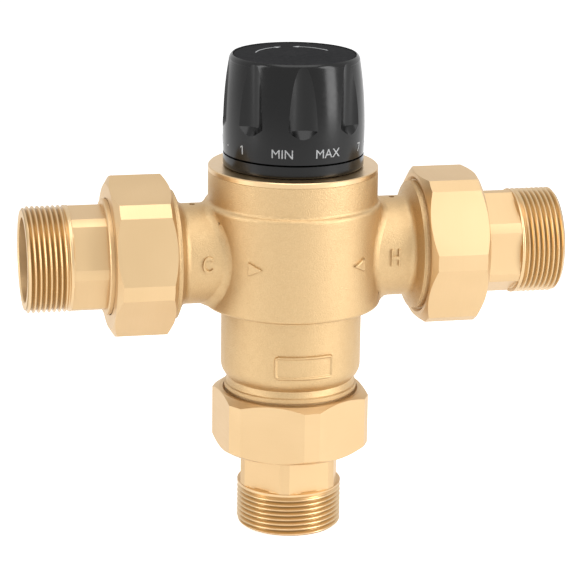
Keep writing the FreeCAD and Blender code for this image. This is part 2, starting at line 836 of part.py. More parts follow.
def build_knob():
    """Hollow fluted knob: skirt, web and splined hub, open above for the cap."""
    body = new_body("knob", "port_axis_height")
    cap_seat = "knob_top - cap_recess - cap_thickness"
    turn(body, "Section", [
        ("knob_wall", "knob_low"),
        ("knob_low_radius - 0.4", "knob_low"),
        ("knob_low_radius", "knob_low + 0.4", "knob_side_arc"),
        ("knob_rim_radius", "knob_rim_height", "knob_round"),
        ("knob_lip_radius + 0.3", "knob_top"),
        ("knob_lip_radius", "knob_top - 0.2"),
        ("knob_lip_radius", cap_seat),
        ("cap_ledge_radius", cap_seat),
        ("cap_ledge_radius", "web_high"),
        ("hub_radius", "web_high"),
        ("hub_radius", "hub_top"),
        ("hub_bore", "hub_top"),
        ("hub_bore", "spindle_shoulder"),
        ("hub_radius", "spindle_shoulder"),
        ("hub_radius", "web_low"),
        ("knob_wall_top", "web_low"),
    ])
    axis_place = "-(flute_floor + flute_radius)"
    sketch = new_sketch(body, "Flute", "YZ_Plane", [[
        (axis_place, "flute_low - flute_radius"),
        (f"{axis_place} + flute_radius", "flute_low"),
        (f"{axis_place} + flute_radius - flute_lean", "knob_top + 1"),
        (axis_place, "knob_top + 1"),
    ]])
    flute = body.newObject("PartDesign::Groove", "Flute")
    flute.Profile = sketch
    axis_line = sketch.addGeometry(Part.LineSegment(
        FreeCAD.Vector(number(axis_place), 0, 0),
        FreeCAD.Vector(number(axis_place), 10, 0)), True)
    sketch.addConstraint(Sketcher.Constraint("Vertical", axis_line))
    fix(sketch, "DistanceX", -1, 1, axis_line, 1, to=axis_place)
    flute.ReferenceAxis = (sketch, ["Axis0"])
    flute.Angle = 360
    doc.recompute()
    pattern(body, "Flutes", flute, "flute_count")
    body.setExpression("Placement.Rotation.Angle", bound("knob_clocking"))


def build_knob_cap():
    body = new_body("knob_cap", "port_axis_height")
    top = "knob_top - cap_recess"
    turn(body, "Disc", [
        ("0", f"{top} - cap_thickness"),
        ("knob_cap_radius", f"{top} - cap_thickness"),
        ("knob_cap_radius", f"{top} - 0.3"),
        ("knob_cap_radius - 0.3", top),
        ("0", top),
    ])


def build_knob_fixing():
    """Socket screw and washer that hold the knob's hub down on the spindle."""
    washer = new_body("knob_washer", "port_axis_height")
    seat = "hub_top + washer_thickness"
    turn(washer, "Ring", rectangle("screw_thread_radius + 0.3", "hub_top", "washer_radius", seat))
    screw = new_body("knob_screw", "port_axis_height")
    turn(screw, "Section", [
        ("0", f"{seat} - screw_length"),
        ("screw_thread_radius", f"{seat} - screw_length"),
        ("screw_thread_radius", seat),
        ("screw_head_radius", seat),
        ("screw_head_radius", f"{seat} + screw_head_height - 0.4"),
        ("screw_head_radius - 0.4", f"{seat} + screw_head_height"),
        ("0", f"{seat} + screw_head_height"),
    ])
    socket = new_sketch(screw, "Socket", "XY_Plane", [polygon("screw_hex_radius", "0.01 deg", 6)],
                        offset=f"{seat} + screw_head_height")
    extrude(screw, "Socket", socket, "screw_head_height * 0.6", cut=True, back=True)


# ---- thermostatic works -----------------------------------------------------

def build_setting_nut():
    """Keyed cup that the spindle's thread raises and lowers."""
    body = new_body("setting_nut", "port_axis_height")
    turn(body, "Section", [
        ("cup_thread_radius", "cup_bore_high"),
        ("cup_bore_radius", "cup_bore_high"),
        ("cup_bore_radius", "cup_low"),
        ("cup_radius", "cup_low"),
        ("cup_radius", "cup_top"),
        ("cup_thread_radius", "cup_top"),
    ])
    ears = new_sketch(body, "Ears", "XY_Plane", [
        rectangle("cup_radius - 0.5", "-ear_width / 2", "ear_radius", "ear_width / 2"),
        rectangle("-ear_radius", "-ear_width / 2", "0.5 - cup_radius", "ear_width / 2"),
    ], offset="ear_low")
    extrude(body, "Ears", ears, "cup_top - ear_low")


def build_snap_ring():
    body = new_body("cup_retaining_ring", "port_axis_height")
    turn(body, "Ring", rectangle("snap_inner_radius", "cup_low + 0.6", "cup_bore_radius",
                                 "cup_low + 0.6 + snap_thickness"))


def build_pressure_pad():
    body = new_body("pressure_pad", "port_axis_height")
    seat = "cup_low + 0.6 + snap_thickness"
    turn(body, "Section", [
        ("0", "pad_face"),
        ("pad_boss_radius", "pad_face"),
        ("pad_boss_radius", seat),
        ("pad_radius", seat),
        ("pad_radius", "pad_top"),
        ("0", "pad_top"),
    ])


def build_overtravel_spring():
    body = new_body("overtravel_spring", "port_axis_height")
    coil(body, "Coil", "overtravel_coil", "overtravel_wire", "pad_top", "cup_bore_high",
         "overtravel_turns")


def build_wax_piston():
    body = new_body("wax_piston", "port_axis_height")
    turn(body, "Rod", rectangle("0", "piston_low", "piston_radius", "pad_face"))


def build_wax_element():
    body = new_body("wax_element", "port_axis_height")
    turn(body, "Section", [
        ("0", "element_low"),
        ("element_bulb_radius - 1.5", "element_low", "1.6"),
        ("element_bulb_radius", "element_low + 1.5"),
        ("element_bulb_radius", "shuttle_hub_top"),
        ("element_flange_radius", "shuttle_hub_top"),
        ("element_flange_radius", "element_flange_top"),
        ("element_neck_radius", "element_flange_top"),
        ("element_neck_radius", "element_neck_top - 1"),
        ("element_neck_radius - 1.5", "element_neck_top"),
        ("element_bore_radius", "element_neck_top"),
        ("element_bore_radius", "element_bore_low"),
        ("0", "element_bore_low"),
    ])


def build_shuttle():
    """Sleeve between the two seats, with a hub on arms that carries the wax."""
    body = new_body("shuttle", "port_axis_height")
    half = "shuttle_seal_wire + 0.25"
    turn(body, "Sleeve", [
        ("shuttle_inner_radius", "shuttle_low"),
        ("shuttle_radius", "shuttle_low"),
        ("shuttle_radius", f"-({half})"),
        ("shuttle_groove_radius", f"-({half})"),
        ("shuttle_groove_radius", half),
        ("shuttle_radius", half),
        ("shuttle_radius", "shuttle_top"),
        ("shuttle_inner_radius", "shuttle_top"),
    ])
    turn(body, "Hub", rectangle("shuttle_hub_bore", "shuttle_hub_low",
                                "shuttle_hub_radius", "shuttle_hub_top"))
    arm = new_sketch(body, "Arm", "XY_Plane", [
        rectangle("shuttle_hub_radius - 1", "-shuttle_arm_width / 2",
                  "shuttle_inner_radius + 0.5", "shuttle_arm_width / 2"),
    ], offset="shuttle_hub_low")
    arm_pad = extrude(body, "Arm", arm, "shuttle_hub_top - shuttle_hub_low")
    pattern(body, "Arms", arm_pad, "4")


def build_basket():
    """Hot seat with a windowed basket below it that carries the spring."""
    body = new_body("hot_seat_basket", "port_axis_height")
    floor_top = "basket_floor_low + basket_floor_thickness"
    turn(body, "Section", [
        ("basket_floor_bore", "basket_floor_low"),
        ("basket_radius", "basket_floor_low"),
        ("basket_radius", "ledge_high"),
        ("seat_ring_radius", "ledge_high"),
        ("seat_ring_radius", "ledge_high + seat_lip"),
        ("basket_inner_radius", "ledge_high + seat_lip"),
        ("basket_inner_radius", floor_top),
        ("basket_floor_bore", floor_top),
    ])
    window = new_sketch(body, "Window", "XZ_Plane", [
        rectangle("-basket_window_width / 2", floor_top,
                  "basket_window_width / 2", "basket_window_high"),
    ])
    cut = extrude(body, "Window", window, "basket_radius + 1", cut=True)
    pattern(body, "Windows", cut, "4")


def build_return_spring():
    body = new_body("return_spring", "port_axis_height")
    low = "basket_floor_low + basket_floor_thickness"
    coil(body, "Coil", "return_coil", "return_wire", low, "shuttle_hub_low", "return_turns")


build_casting()
for port in ("cold", "hot", "mixed"):
    build_union_nut(port)
    build_tailpiece(port)
    build_gasket(port)
for port in ("cold", "hot"):
    build_strainer(port)
    build_check_cage(port)
    build_check_poppet(port)
    build_check_seal(port)
    build_check_spring(port)
build_bonnet()
torus_ring("bonnet_oring", "bonnet_thread_radius - bonnet_seal_wire + 0.03",
           "bonnet_seal_height", "bonnet_seal_wire")
build_spindle()
torus_ring("spindle_oring_lower", "seal_groove_radius + seal_wire", "seal_low", "seal_wire")
torus_ring("spindle_oring_upper", "seal_groove_radius + seal_wire", "seal_high", "seal_wire")
build_spindle_clip()
build_index_ring()
build_knob()
build_knob_cap()
build_knob_fixing()
build_setting_nut()
build_snap_ring()
build_pressure_pad()
build_overtravel_spring()
build_wax_piston()
build_wax_element()
build_shuttle()
torus_ring("shuttle_oring", "shuttle_groove_radius + shuttle_seal_wire", "0", "shuttle_seal_wire")
build_basket()
build_return_spring()
doc.recompute()

for item in doc.Objects:
    if "Invalid" in item.State or "Error" in item.State:
        raise RuntimeError(f"{item.Label}: {item.State}")
os.makedirs("parts", exist_ok=True)
for part in PARTS:
    shape = part.Shape
    if shape.isNull() or not shape.isValid() or len(shape.Solids) != 1:
        raise RuntimeError(f"{part.Label}: not one valid solid")
    shape.exportStep(f"parts/{part.Label}.step")
    print(f"{part.Label}: {shape.Volume / 1000:.2f} cm3")
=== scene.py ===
import json
import math

import bmesh
import bpy
from mathutils import Matrix, Vector
from mathutils.bvhtree import BVHTree


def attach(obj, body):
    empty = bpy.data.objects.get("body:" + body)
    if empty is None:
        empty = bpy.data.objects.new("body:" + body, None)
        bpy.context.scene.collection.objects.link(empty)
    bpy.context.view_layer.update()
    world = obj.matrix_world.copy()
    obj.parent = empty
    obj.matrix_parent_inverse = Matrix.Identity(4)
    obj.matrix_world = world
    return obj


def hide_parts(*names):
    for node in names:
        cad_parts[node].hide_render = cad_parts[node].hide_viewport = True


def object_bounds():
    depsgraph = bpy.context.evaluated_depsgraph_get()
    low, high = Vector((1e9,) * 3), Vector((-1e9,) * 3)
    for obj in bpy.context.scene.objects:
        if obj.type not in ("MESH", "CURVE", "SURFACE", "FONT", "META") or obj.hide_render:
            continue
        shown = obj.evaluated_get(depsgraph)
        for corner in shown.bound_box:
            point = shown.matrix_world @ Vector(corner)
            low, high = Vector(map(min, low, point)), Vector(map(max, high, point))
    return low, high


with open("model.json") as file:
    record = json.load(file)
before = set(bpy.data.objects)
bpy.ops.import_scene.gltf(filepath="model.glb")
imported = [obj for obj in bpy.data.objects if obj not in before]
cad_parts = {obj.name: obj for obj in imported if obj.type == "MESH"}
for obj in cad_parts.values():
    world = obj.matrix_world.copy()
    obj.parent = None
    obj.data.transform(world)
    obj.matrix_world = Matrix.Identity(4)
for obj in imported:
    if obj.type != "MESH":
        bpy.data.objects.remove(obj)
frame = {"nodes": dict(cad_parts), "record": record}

cad_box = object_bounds()
MM = 0.001
NODES = frame["nodes"]


# ---- places that come from the frame ----------------------------------------

def mount(name):
    return next(m for m in frame["record"]["mounts"] if m["name"] == name)


PORT_HEIGHT = mount("hot_inlet_thread")["pos_m"][2]
THREAD_RADIUS = mount("hot_inlet_thread")["dims"]["r_mm"] * MM


def new_object(name, data):
    thing = bpy.data.objects.new(name, data)
    bpy.context.scene.collection.objects.link(thing)
    return thing


# ---- camera -----------------------------------------------------------------

VIEW_AZIMUTH = math.radians(-12.15)
VIEW_ELEVATION = math.radians(15.86)
VIEW_ROLL = math.radians(0.82)
VIEW_DISTANCE = 1.2057
VIEW_TARGET = Vector((-0.0006, 0.0, 0.1109))
VIEW_LENS = 164.4
SENSOR_WIDTH = 36.0
CLIP_START = 0.05


def view_axes():
    """The camera's right, up and back directions."""
    flat = math.cos(VIEW_ELEVATION)
    back = Vector((math.sin(VIEW_AZIMUTH) * flat, -math.cos(VIEW_AZIMUTH) * flat,
                   math.sin(VIEW_ELEVATION)))
    level = Vector((0, 0, 1)).cross(back).normalized()
    upright = back.cross(level)
    right = level * math.cos(VIEW_ROLL) + upright * math.sin(VIEW_ROLL)
    up = upright * math.cos(VIEW_ROLL) - level * math.sin(VIEW_ROLL)
    return right, up, back


def add_camera():
    right, up, back = view_axes()
    camera = new_object("camera", bpy.data.cameras.new("camera"))
    turn = Matrix((right, up, back)).transposed().to_4x4()
    camera.matrix_world = Matrix.Translation(VIEW_TARGET + back * VIEW_DISTANCE) @ turn
    camera.data.lens = VIEW_LENS
    camera.data.sensor_width = SENSOR_WIDTH
    camera.data.clip_start = CLIP_START
    bpy.context.scene.camera = camera


# ---- materials --------------------------------------------------------------

class Nodes:
    """A material's node tree, with short ways to add the nodes used here."""

    def __init__(self, name, **sockets):
        self.material = bpy.data.materials.new(name)
        self.material.use_nodes = True
        self.tree = self.material.node_tree
        self.shader = self.tree.nodes["Principled BSDF"]
        for socket, value in sockets.items():
            self.shader.inputs[socket.replace("_", " ")].default_value = value
        self.place = self.add("ShaderNodeTexCoord").outputs["Object"]

    def add(self, kind, **settings):
        node = self.tree.nodes.new(kind)
        for key, value in settings.items():
            setattr(node, key, value)
        return node

    def put(self, value, socket):
        if isinstance(value, bpy.types.NodeSocket):
            self.tree.links.new(value, socket)
        else:
            socket.default_value = value

    def noise(self, scale, detail=2.0, roughness=0.5, stretch=None):
        place = self.place
        if stretch:
            mapping = self.add("ShaderNodeMapping")
            mapping.inputs["Scale"].default_value = stretch
            self.put(self.place, mapping.inputs["Vector"])
            place = mapping.outputs["Vector"]
        node = self.add("ShaderNodeTexNoise")
        self.put(place, node.inputs["Vector"])
        node.inputs["Scale"].default_value = scale
        node.inputs["Detail"].default_value = detail
        node.inputs["Roughness"].default_value = roughness
        return node.outputs["Fac"]

    def height(self):
        split = self.add("ShaderNodeSeparateXYZ")
        self.put(self.place, split.inputs["Vector"])
        return split.outputs["Z"]

    def grains(self, scale):
        node = self.add("ShaderNodeTexVoronoi", feature="SMOOTH_F1")
        self.put(self.place, node.inputs["Vector"])
        node.inputs["Scale"].default_value = scale
        return node.outputs["Distance"]

    def spread(self, value, low, high, to_low=0.0, to_high=1.0):
        node = self.add("ShaderNodeMapRange", interpolation_type="SMOOTHSTEP")
        for socket, number in zip(("From Min", "From Max", "To Min", "To Max"),
                                  (low, high, to_low, to_high)):
            node.inputs[socket].default_value = number
        self.put(value, node.inputs["Value"])
        return node.outputs["Result"]

    def math(self, operation, first, second=0.0):
        node = self.add("ShaderNodeMath", operation=operation)
        self.put(first, node.inputs[0])
        self.put(second, node.inputs[1])
        return node.outputs["Value"]

    def blend(self, factor, first, second):
        node = self.add("ShaderNodeMix", data_type="RGBA")
        for value, socket in ((factor, "Factor"), (first, "A"), (second, "B")):
            self.put(value, node.inputs[socket])
        return node.outputs["Result"]

    def bump(self, height, strength, distance, normal=None):
        node = self.add("ShaderNodeBump")
        self.put(strength, node.inputs["Strength"])
        node.inputs["Distance"].default_value = distance
        self.put(height, node.inputs["Height"])
        if normal is not None:
            self.put(normal, node.inputs["Normal"])
        return node.outputs["Normal"]

    def to(self, value, socket):
        self.put(value, self.shader.inputs[socket])


GOLD_LIGHT = (0.60, 0.425, 0.228, 1)
GOLD_DEEP = (0.55, 0.385, 0.200, 1)
MACHINED_LIGHT = (0.67, 0.480, 0.268, 1)
MACHINED_DEEP = (0.64, 0.455, 0.250, 1)
# painted shade: a darker brass for the thread roots, where shade falls
ROOT_SHADE_BRASS = (0.36, 0.235, 0.105, 1)
BLACK_DEEP = (0.002, 0.002, 0.002, 1)
BLACK_LIGHT = (0.004, 0.004, 0.004, 1)
CAP_DEEP = (0.008, 0.008, 0.009, 1)
CAP_LIGHT = (0.012, 0.012, 0.013, 1)
PAINT_DEEP = (0.42, 0.43, 0.44, 1)
PAINT_LIGHT = (0.52, 0.53, 0.54, 1)
FLOOR_DEEP = (0.86, 0.86, 0.86, 1)
FLOOR_LIGHT = (0.88, 0.88, 0.88, 1)
TOP_BAND = PORT_HEIGHT + 37.2 * MM
BAND_BLEND = 0.15 * MM
BAND_LIP = 0.2 * MM


def cast_brass():
    """Blasted casting with a fine even grain, and its turned top band smooth."""
    nodes = Nodes("cast_brass", Metallic=1.0)
    height = nodes.height()
    turned = nodes.spread(height, TOP_BAND, TOP_BAND + BAND_BLEND)
    rough = nodes.math("SUBTRACT", 1.0, turned)
    tone = nodes.spread(nodes.noise(1600, 2, 0.5), 0.2, 0.8)
    cast_tone = nodes.blend(tone, GOLD_DEEP, GOLD_LIGHT)
    nodes.to(nodes.blend(turned, cast_tone, MACHINED_LIGHT), "Base Color")
    patch = nodes.spread(nodes.noise(300, 4), 0.3, 0.7, 0.46, 0.52)
    nodes.to(nodes.math("SUBTRACT", patch, nodes.math("MULTIPLY", turned, 0.17)), "Roughness")
    lip = nodes.spread(height, TOP_BAND - BAND_LIP, TOP_BAND)
    step = nodes.bump(lip, 0.7, 0.4 * MM)
    sand_strength = nodes.math("MULTIPLY", rough, 0.9)
    sand = nodes.bump(nodes.noise(1700, 3, 0.6), sand_strength, 0.2 * MM, step)
    pit_strength = nodes.math("MULTIPLY", rough, 0.35)
    pits = nodes.bump(nodes.grains(2600), pit_strength, 0.11 * MM, sand)
    nodes.to(pits, "Normal")
    return nodes.material


def machined_brass(name="machined_brass", along="Z"):
    """Turned and milled brass, smooth, with very faint tool lines."""
    nodes = Nodes(name, Metallic=1.0)
    tone = nodes.spread(nodes.noise(30, 2), 0.35, 0.7)
    nodes.to(nodes.blend(tone, MACHINED_DEEP, MACHINED_LIGHT), "Base Color")
    stretch = {"X": (40, 1, 1), "Z": (1, 1, 40)}[along]
    lines = nodes.noise(40, 3, 0.6, stretch)
    nodes.to(nodes.spread(lines, 0.3, 0.7, 0.44, 0.47), "Roughness")
    fine = nodes.bump(lines, 0.02, 0.04 * MM)
    nodes.to(nodes.bump(nodes.noise(700, 3), 0.04, 0.04 * MM, fine), "Normal")
    return nodes.material


def thread_brass():
    """Cut thread: smooth, with painted shade that darkens the roots."""
    nodes = Nodes("thread_brass", Metallic=1.0)
    root = nodes.add("ShaderNodeVertexColor", layer_name="root").outputs["Color"]
    # painted shade: the deeper the root, the darker the brass
    root_shade = nodes.spread(root, 0.2, 1.0)
    nodes.to(nodes.blend(root_shade, MACHINED_LIGHT, ROOT_SHADE_BRASS), "Base Color")
    nodes.to(nodes.spread(nodes.noise(220, 3), 0.3, 0.7, 0.28, 0.36), "Roughness")
    nodes.to(nodes.bump(nodes.noise(700, 3), 0.06, 0.06 * MM), "Normal")
    return nodes.material


def black_plastic():
    """Moulded black plastic, semi-gloss with a faint grain."""
    nodes = Nodes("black_plastic", Metallic=0.0, Specular_IOR_Level=0.31)
    tone = nodes.spread(nodes.noise(25, 2), 0.3, 0.7)
    nodes.to(nodes.blend(tone, BLACK_DEEP, BLACK_LIGHT), "Base Color")
    nodes.to(nodes.spread(nodes.noise(400, 4), 0.3, 0.7, 0.17, 0.21), "Roughness")
    nodes.to(nodes.bump(nodes.noise(1500, 3), 0.03, 0.04 * MM), "Normal")
    return nodes.material


def cap_plastic():
    """The cap's satin black, which takes no sheen at a low view."""
    nodes = Nodes("cap_plastic", Metallic=0.0, Specular_IOR_Level=0.02)
    tone = nodes.spread(nodes.noise(60, 2), 0.3, 0.7)
    nodes.to(nodes.blend(tone, CAP_DEEP, CAP_LIGHT), "Base Color")
    nodes.to(nodes.spread(nodes.noise(500, 3), 0.3, 0.7, 0.55, 0.62), "Roughness")
    nodes.to(nodes.bump(nodes.noise(1500, 3), 0.05, 0.04 * MM), "Normal")
    return nodes.material


def white_paint():
    """The knob's printing, a little worn and matt."""
    nodes = Nodes("white_paint", Roughness=0.5)
    tone = nodes.spread(nodes.noise(600, 4), 0.3, 0.7)
    nodes.to(nodes.blend(tone, PAINT_DEEP, PAINT_LIGHT), "Base Color")
    return nodes.material


def plain(name, dark, light, low, high, metallic=0.0, scale=200, grain=0.1):
    """A simple finish: two near tones, uneven gloss and a fine grain."""
    nodes = Nodes(name, Metallic=metallic)
    tone = nodes.spread(nodes.noise(scale / 4, 3), 0.35, 0.65)
    nodes.to(nodes.blend(tone, (*dark, 1), (*light, 1)), "Base Color")
    nodes.to(nodes.spread(nodes.noise(scale, 3), 0.3, 0.7, low, high), "Roughness")
    nodes.to(nodes.bump(nodes.noise(scale * 5, 3), grain, 0.05 * MM), "Normal")
    return nodes.material


def finish_nodes():
    """Gives every CAD node its finish, by the record's material slots."""
    finishes = {
        "cast_brass": cast_brass(),
        "machined_brass": machined_brass(),
        "black_plastic": black_plastic(),
        "grey_plastic": plain("grey_plastic", (0.50, 0.51, 0.50), (0.60, 0.61, 0.60), 0.42, 0.55),
        "seal_rubber": plain("seal_rubber", (0.012, 0.012, 0.012), (0.022, 0.022, 0.022), 0.5, 0.65),
        "gasket_fibre": plain("gasket_fibre", (0.03, 0.035, 0.03), (0.06, 0.065, 0.06), 0.7, 0.85,
                              grain=0.4),
        "stainless": plain("stainless", (0.52, 0.52, 0.51), (0.63, 0.63, 0.62), 0.22, 0.34, 1.0),
        "copper": plain("copper", (0.72, 0.36, 0.22), (0.80, 0.43, 0.28), 0.26, 0.38, 1.0),
    }
    along_x = machined_brass("machined_brass_side", "X")
    satin = cap_plastic()
    for part in frame["record"]["subparts"]:
        node = NODES[part["node"]]
        material = finishes[part["material_slot"]]
        if part["material_slot"] == "machined_brass" and part["node"].endswith(("cold", "hot")):
            material = along_x
        if part["node"] == "knob_cap":
            material = satin
        node.data.materials.clear()
        node.data.materials.append(material)
    return finishes


# ---- stage ------------------------------------------------------------------

LAMPS = (
    # name, azimuth and elevation in degrees, width and height in m, watts
    ("key_right", 52, 22, (0.40, 1.2), 9.5),
    ("fill_left", -78, 20, (0.26, 1.2), 5),
    ("top", 0, 80, (1.0, 0.8), 5),
)
LAMP_DISTANCE = 1.2
FLOOR_HALF = 3.0
FLOOR_GAP = 0.1 * MM
FLOOR_WHITE = 0.72
STUDIO_STRENGTH = 0.32


def softbox(name, azimuth, elevation, size, power):
    """A large soft lamp, at angles measured from the front of the valve."""
    lamp = bpy.data.lights.new(name, "AREA")
    lamp.shape = "RECTANGLE"
    lamp.size, lamp.size_y = size
    lamp.energy = power
    box = new_object(name, lamp)
    a, e = math.radians(azimuth), math.radians(elevation)
    away = Vector((math.sin(a) * math.cos(e), -math.cos(a) * math.cos(e), math.sin(e)))
    box.location = Vector((0, 0, PORT_HEIGHT)) + away * LAMP_DISTANCE
    box.rotation_euler = away.to_track_quat("Z", "Y").to_euler()


def seen_rays(tree):
    """1 on rays from the camera, and on what metal and glass show it."""
    path = tree.nodes.new("ShaderNodeLightPath")
    total = path.outputs["Is Camera Ray"]
    for name in ("Is Glossy Ray", "Is Transmission Ray"):
        either = tree.nodes.new("ShaderNodeMath")
        either.operation = "MAXIMUM"
        tree.links.new(total, either.inputs[0])
        tree.links.new(path.outputs[name], either.inputs[1])
        total = either.outputs["Value"]
    return total


def add_floor():
    """Pale floor under the valve, which keeps the valve's soft shadow."""
    level = cad_box[0][2] - FLOOR_GAP
    signs = ((-1, -1), (1, -1), (1, 1), (-1, 1))
    mesh = bpy.data.meshes.new("floor")
    corners = [(FLOOR_HALF * x, FLOOR_HALF * y, level) for x, y in signs]
    mesh.from_pydata(corners, [], [(0, 1, 2, 3)])
    floor = new_object("floor", mesh)
    nodes = Nodes("floor", Roughness=0.9, Specular_IOR_Level=0.1)
    tone = nodes.spread(nodes.noise(6, 3), 0.3, 0.7)
    nodes.to(nodes.blend(tone, FLOOR_DEEP, FLOOR_LIGHT), "Base Color")
    nodes.shader.inputs["Emission Color"].default_value = (1, 1, 1, 1)
    nodes.to(nodes.math("MULTIPLY", seen_rays(nodes.tree), FLOOR_WHITE), "Emission Strength")
    mesh.materials.append(nodes.material)


def add_world():
    """Even studio light, and white wherever it is seen or mirrored."""
    world = bpy.data.worlds.new("studio")
    bpy.context.scene.world = world
    world.use_nodes = True
    tree = world.node_tree
    studio = tree.nodes["Background"]
    studio.inputs["Color"].default_value = (1, 1, 1, 1)
    studio.inputs["Strength"].default_value = STUDIO_STRENGTH
    white = tree.nodes.new("ShaderNodeBackground")
    white.inputs["Color"].default_value = (1, 1, 1, 1)
    mix = tree.nodes.new("ShaderNodeMixShader")
    tree.links.new(seen_rays(tree), mix.inputs["Fac"])
    tree.links.new(studio.outputs["Background"], mix.inputs[1])
    tree.links.new(white.outputs["Background"], mix.inputs[2])
    tree.links.new(mix.outputs["Shader"], tree.nodes["World Output"].inputs["Surface"])


def add_stage():
    for lamp in LAMPS:
        softbox(*lamp)
    add_world()
    add_floor()
    bpy.context.scene.view_settings.view_transform = "Standard"


# ---- tailpieces with cut threads --------------------------------------------

PITCH = 2.309 * MM
THREAD_DEPTH = 1.45 * MM
CREST_SHARE = 0.06
FLANK_SHARE = 0.88
RUN_OUT_TURNS = 1.3
CHAMFER_SLOPE = 1.15
STEPS_PER_TURN = 10
SIDE_NUT = 57.1 * MM
LOWER_NUT = 65.1 * MM
UNION = {
    # name: (inner end of the nut, tilt of its axis from +Z about Y, turn about its axis)
    "cold": ((-SIDE_NUT, 0, PORT_HEIGHT), -90, -5.0),
    "hot": ((SIDE_NUT, 0, PORT_HEIGHT), 90, -28.0),
    "mixed": ((0, 0, PORT_HEIGHT - LOWER_NUT), 180, 16.75),
}
# Places along a tail, from the inner end of its nut outwards.
FACE = 16.3 * MM
SEAT_STEP = 1.0 * MM
FLANGE_END = 21.9 * MM
SHOULDER_END = 29.4 * MM
FLATS_END = 44.4 * MM
FLATS_RUN_OUT = 0.35 * MM
THREAD_START = 44.9 * MM
TAIL_END = 65.15 * MM
# Radii of a tail, and its edges.
BORE = 19.05 * MM
SEAT_RADIUS = 21.5 * MM
FLANGE_RADIUS = 28.2 * MM
SHOULDER_RADIUS = 26.0 * MM
HALF_FLATS = 21.5 * MM
ROUND_RADIUS = 23.6 * MM
RUN_OUT_RADIUS = 22.3 * MM
END_CHAMFER = 1.5 * MM
EDGE = 0.5 * MM
# Columns on one flat and on one round between flats.
FLAT_COLUMNS = 14
ROUND_COLUMNS = 4
# Welding and shading of the mesh.
SHADING_RING = 0.1 * MM
WELD_GAP = 0.004 * MM
SLIVER = 0.002 * MM
CUT_START = THREAD_START + 0.05 * MM
OUTSIDE = 21.0 * MM
SHARP_ON_THREAD = math.radians(38)
SHARP_ELSEWHERE = math.radians(12)


def union_matrix(name):
    """Takes a union's own frame, +Z outwards, to the valve's frame."""
    start, tilt, turned = UNION[name]
    side = Matrix.Rotation(math.radians(tilt), 4, "Y")
    return Matrix.Translation(start) @ side @ Matrix.Rotation(math.radians(turned), 4, "Z")


def column_angles():
    """Angles round the tail, with a column on every edge of the six flats."""
    half = math.degrees(math.acos(HALF_FLATS / ROUND_RADIUS))
    angles = []
    for side in range(6):
        middle = 60 * side
        flat, arc = 2 * half / FLAT_COLUMNS, (60 - 2 * half) / ROUND_COLUMNS
        angles += [middle - half + flat * k for k in range(FLAT_COLUMNS)]
        angles += [middle + half + arc * k for k in range(ROUND_COLUMNS)]
    return [math.radians(a) for a in angles]


def flats_radius(angle):
    """Radius where the six flats are milled into the round."""
    off = (math.degrees(angle) + 30) % 60 - 30
    return min(ROUND_RADIUS, HALF_FLATS / math.cos(math.radians(off)))


def thread_form(phase):
    """Depth of the thread, 0 on the crest and 1 in the root, both rounded."""
    slope = abs(2 * phase - 1)
    flank = min(1, max(0, (slope - CREST_SHARE) / FLANK_SHARE))
    return 0.5 - 0.5 * math.cos(math.pi * flank)


def thread_radius(u, phase):
    """Radius at a place along the thread: run-out, turns and end chamfer."""
    run_out = min(1, max(0, (u - THREAD_START) / (RUN_OUT_TURNS * PITCH)))
    cut = THREAD_RADIUS - THREAD_DEPTH * thread_form(phase) * run_out
    chamfer = THREAD_RADIUS - END_CHAMFER + (TAIL_END - u) * CHAMFER_SLOPE
    return min(cut, chamfer)


def lathe(rows, angles):
    """Vertices and quads of rings; a row is a function of column angle."""
    count = len(angles)
    verts = []
    for row in rows:
        for angle in angles:
            u, radius = row(angle)
            verts.append((radius * math.cos(angle), radius * math.sin(angle), u))
    faces = []
    for i in range(len(rows) - 1):
        for j in range(count):
            k = (j + 1) % count
            faces.append((i * count + j, i * count + k, (i + 1) * count + k, (i + 1) * count + j))
    return verts, faces


def thread_surface(angles):
    """The cut turns as strips that follow the helix, clipped at both ends."""
    count = len(angles)
    turns = math.ceil((TAIL_END - THREAD_START) / PITCH) + 1
    rows = turns * STEPS_PER_TURN
    first = angles[0]
    verts, faces = [], []
    for i in range(rows + 1):
        for j in range(count + 1):
            angle = angles[j % count] + (2 * math.pi if j == count else 0)
            lead = PITCH * (angle - first) / (2 * math.pi)
            u = THREAD_START - PITCH + PITCH * i / STEPS_PER_TURN + lead
            u = min(TAIL_END, max(THREAD_START, u))
            radius = thread_radius(u, (i / STEPS_PER_TURN) % 1)
            verts.append((radius * math.cos(angle), radius * math.sin(angle), u))
    for i in range(rows):
        for j in range(count):
            a = i * (count + 1) + j
            faces.append((a, a + 1, a + count + 2, a + count + 1))
    return verts, faces


def fixed(u, radius):
    """A ring of one radius, as a row for the lathe."""
    return lambda angle: (u, radius)


def milled(u, least=0.0):
    """A ring across the flats, as a row for the lathe."""
    return lambda angle: (u, max(least, flats_radius(angle)))


def tail_profile():
    """The tail's rings, from its outer end through the bore to the thread's start."""
    return [
        fixed(TAIL_END, THREAD_RADIUS - END_CHAMFER),
        fixed(TAIL_END, BORE + EDGE),
        fixed(TAIL_END - EDGE, BORE),
        fixed(FACE + SEAT_STEP, BORE),
        fixed(FACE + SEAT_STEP, SEAT_RADIUS),
        fixed(FACE, SEAT_RADIUS),
        fixed(FACE, FLANGE_RADIUS),
        fixed(FLANGE_END, FLANGE_RADIUS),
        fixed(FLANGE_END, SHOULDER_RADIUS),
        fixed(SHOULDER_END - EDGE, SHOULDER_RADIUS),
        fixed(SHOULDER_END, SHOULDER_RADIUS - EDGE),
        milled(SHOULDER_END),
        milled(SHOULDER_END + SHADING_RING),
        milled(FLATS_END - SHADING_RING),
        milled(FLATS_END),
        milled(FLATS_END + FLATS_RUN_OUT, RUN_OUT_RADIUS),
        fixed(THREAD_START, THREAD_RADIUS),
    ]


